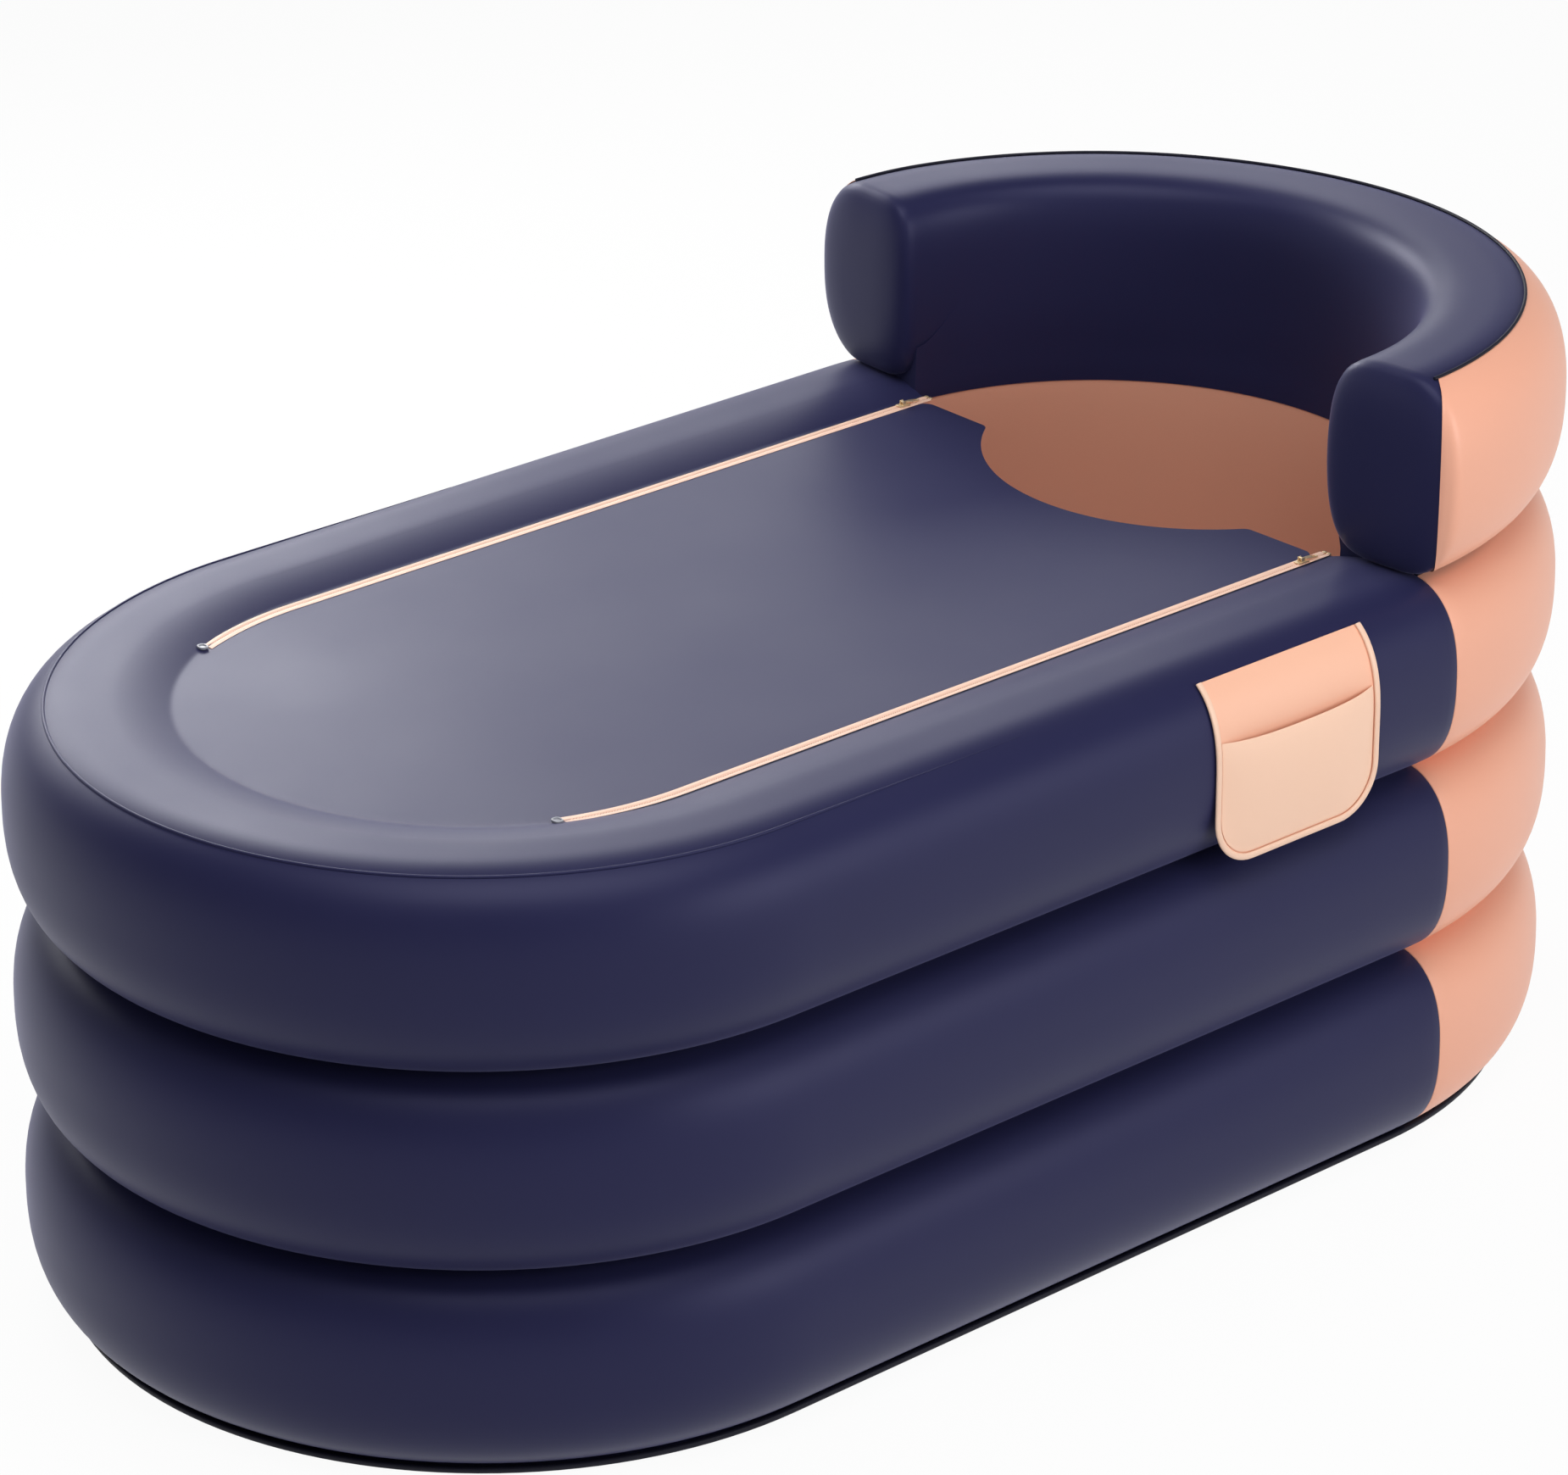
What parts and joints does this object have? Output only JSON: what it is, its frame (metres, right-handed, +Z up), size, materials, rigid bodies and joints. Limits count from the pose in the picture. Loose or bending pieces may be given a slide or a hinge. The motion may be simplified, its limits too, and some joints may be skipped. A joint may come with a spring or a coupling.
{
  "type": "inflatable bathtub",
  "caption": "Oval inflatable bathtub of stacked air chambers with a C-shaped backrest, a zip-off cover with a neck opening, an outside pocket, air valves and a drain.",
  "frame": {"origin": "middle of the flat underside of the base sheet, where the tub stands on the floor", "axes": "+Z up; +X along the tub's length from the foot end to the backrest; -Y to the side with the pocket, +Y to the side with the drain"},
  "size_m": [1.5041, 0.8269, 0.708],
  "materials": {
    "navy_sheet": "semi-gloss soft PVC sheet",
    "peach_sheet": "semi-gloss soft PVC sheet",
    "pale_peach_trim": "matt woven tape and piping",
    "dark_bead": "glossy weld bead",
    "brass": "polished, pale gold",
    "grey_plastic": "matt",
    "valve_white": "satin moulded plastic",
    "silicone": "matt silicone"
  },
  "bodies": {
    "tub": {"base_sheet": "navy_sheet", "base_rim_bead": "dark_bead", "inner_wall": "peach_sheet", "floor_cushion": "peach_sheet", "backrest_chamber": "navy_sheet", "backrest_outer_panel": "peach_sheet", "backrest_rim_bead": "dark_bead", "backrest_seat_bead": "dark_bead", "top_rim_bead": "dark_bead", "cover_border": "navy_sheet", "pocket_back_panel": "peach_sheet", "pocket_pouch": "peach_sheet", "pocket_binding": "pale_peach_trim", "drain_duct": "valve_white", "drain_inner_collar": "valve_white", "lower_chamber_front": "navy_sheet", "lower_chamber_rear": "peach_sheet", "middle_chamber_front": "navy_sheet", "middle_chamber_rear": "peach_sheet", "upper_chamber_front": "navy_sheet", "upper_chamber_rear": "peach_sheet", "left_zip_tub_tape": "pale_peach_trim", "left_zip_tub_head_stop": "brass", "left_zip_foot_stop": "grey_plastic", "right_zip_tub_tape": "pale_peach_trim", "right_zip_tub_head_stop": "brass", "right_zip_foot_stop": "grey_plastic", "lower_valve_neck": "valve_white", "middle_valve_neck": "valve_white", "upper_valve_neck": "valve_white", "backrest_valve_neck": "valve_white", "floor_valve_neck": "valve_white"},
    "cover": {"cover_sheet": "navy_sheet", "left_zip_cover_tape": "pale_peach_trim", "left_zip_cover_head_stop": "brass", "right_zip_cover_tape": "pale_peach_trim", "right_zip_cover_head_stop": "brass"},
    "left_slider": {"left_slider": "brass"},
    "left_pull_tab": {"left_pull_tab": "brass"},
    "right_slider": {"right_slider": "brass"},
    "right_pull_tab": {"right_pull_tab": "brass"},
    "lower_cap": {"lower_valve_cap": "valve_white"},
    "lower_flap": {"lower_valve_flap": "silicone"},
    "middle_cap": {"middle_valve_cap": "valve_white"},
    "middle_flap": {"middle_valve_flap": "silicone"},
    "upper_cap": {"upper_valve_cap": "valve_white"},
    "upper_flap": {"upper_valve_flap": "silicone"},
    "backrest_cap": {"backrest_valve_cap": "valve_white"},
    "backrest_flap": {"backrest_valve_flap": "silicone"},
    "floor_cap": {"floor_valve_cap": "valve_white"},
    "floor_flap": {"floor_valve_flap": "silicone"},
    "drain_washer": {"drain_cap_washer": "silicone"},
    "drain_cap": {"drain_cap": "valve_white"},
    "drain_plug": {"drain_plug": "silicone"}
  },
  "joints": [
    {"name": "cover_fold", "type": "hinge", "parent": "tub", "child": "cover", "pos_m": [-0.46505, 0, 0.519], "axis": [0, -1, 0], "range_deg": [0, 160]},
    {"name": "left_slider_slide", "type": "slide", "parent": "cover", "child": "left_slider", "axis": [-1, 0, 0], "range_m": [0, 0.69]},
    {"name": "left_pull_tab_hinge", "type": "hinge", "parent": "left_slider", "child": "left_pull_tab", "pos_m": [0.339, -0.2515, 0.5203], "axis": [0, -1, 0], "range_deg": [0, 150]},
    {"name": "right_slider_slide", "type": "slide", "parent": "cover", "child": "right_slider", "axis": [-1, 0, 0], "range_m": [0, 0.69]},
    {"name": "right_pull_tab_hinge", "type": "hinge", "parent": "right_slider", "child": "right_pull_tab", "pos_m": [0.339, 0.2515, 0.5203], "axis": [0, -1, 0], "range_deg": [0, 150]},
    {"name": "lower_cap_strap", "type": "hinge", "parent": "tub", "child": "lower_cap", "pos_m": [0.75276, 0, 0.10465], "axis": [0, -1, 0], "range_deg": [0, 150]},
    {"name": "lower_flap_hinge", "type": "hinge", "parent": "tub", "child": "lower_flap", "pos_m": [0.73606, 0, 0.09985], "axis": [0, 1, 0], "range_deg": [0, 60], "stiffness_Nm_per_rad": 0.001, "springref_deg": -17.19},
    {"name": "middle_cap_strap", "type": "hinge", "parent": "tub", "child": "middle_cap", "pos_m": [0.75276, 0, 0.27965], "axis": [0, -1, 0], "range_deg": [0, 150]},
    {"name": "middle_flap_hinge", "type": "hinge", "parent": "tub", "child": "middle_flap", "pos_m": [0.73606, 0, 0.27485], "axis": [0, 1, 0], "range_deg": [0, 60], "stiffness_Nm_per_rad": 0.001, "springref_deg": -17.19},
    {"name": "upper_cap_strap", "type": "hinge", "parent": "tub", "child": "upper_cap", "pos_m": [0.75276, 0, 0.45465], "axis": [0, -1, 0], "range_deg": [0, 150]},
    {"name": "upper_flap_hinge", "type": "hinge", "parent": "tub", "child": "upper_flap", "pos_m": [0.73606, 0, 0.44985], "axis": [0, 1, 0], "range_deg": [0, 60], "stiffness_Nm_per_rad": 0.001, "springref_deg": -17.19},
    {"name": "backrest_cap_strap", "type": "hinge", "parent": "tub", "child": "backrest_cap", "pos_m": [0.75355, 0, 0.63315], "axis": [0, -1, 0], "range_deg": [0, 150]},
    {"name": "backrest_flap_hinge", "type": "hinge", "parent": "tub", "child": "backrest_flap", "pos_m": [0.73685, 0, 0.62835], "axis": [0, 1, 0], "range_deg": [0, 60], "stiffness_Nm_per_rad": 0.001, "springref_deg": -17.19},
    {"name": "floor_cap_strap", "type": "hinge", "parent": "tub", "child": "floor_cap", "pos_m": [-0.256, 0, 0.0517], "axis": [0, -1, 0], "range_deg": [0, 150]},
    {"name": "floor_flap_hinge", "type": "hinge", "parent": "tub", "child": "floor_flap", "pos_m": [-0.2512, 0, 0.035], "axis": [0, 1, 0], "range_deg": [0, 60], "stiffness_Nm_per_rad": 0.001, "springref_deg": -17.19},
    {"name": "drain_cap_travel", "type": "slide", "parent": "tub", "child": "drain_washer", "axis": [0, 1, 0], "range_m": [0, 0.008]},
    {"name": "drain_cap_turn", "type": "hinge", "parent": "drain_washer", "child": "drain_cap", "pos_m": [-0.23, 0.41, 0.08865], "axis": [0, 1, 0], "range_deg": [0, 720]},
    {"name": "drain_plug_pull", "type": "slide", "parent": "tub", "child": "drain_plug", "axis": [0, -1, 0], "range_m": [0, 0.03]}
  ],
  "couplings": [
    {"joint": "drain_cap_travel", "follows": "drain_cap_turn", "m_per_rad": 0.0006366}
  ]
}
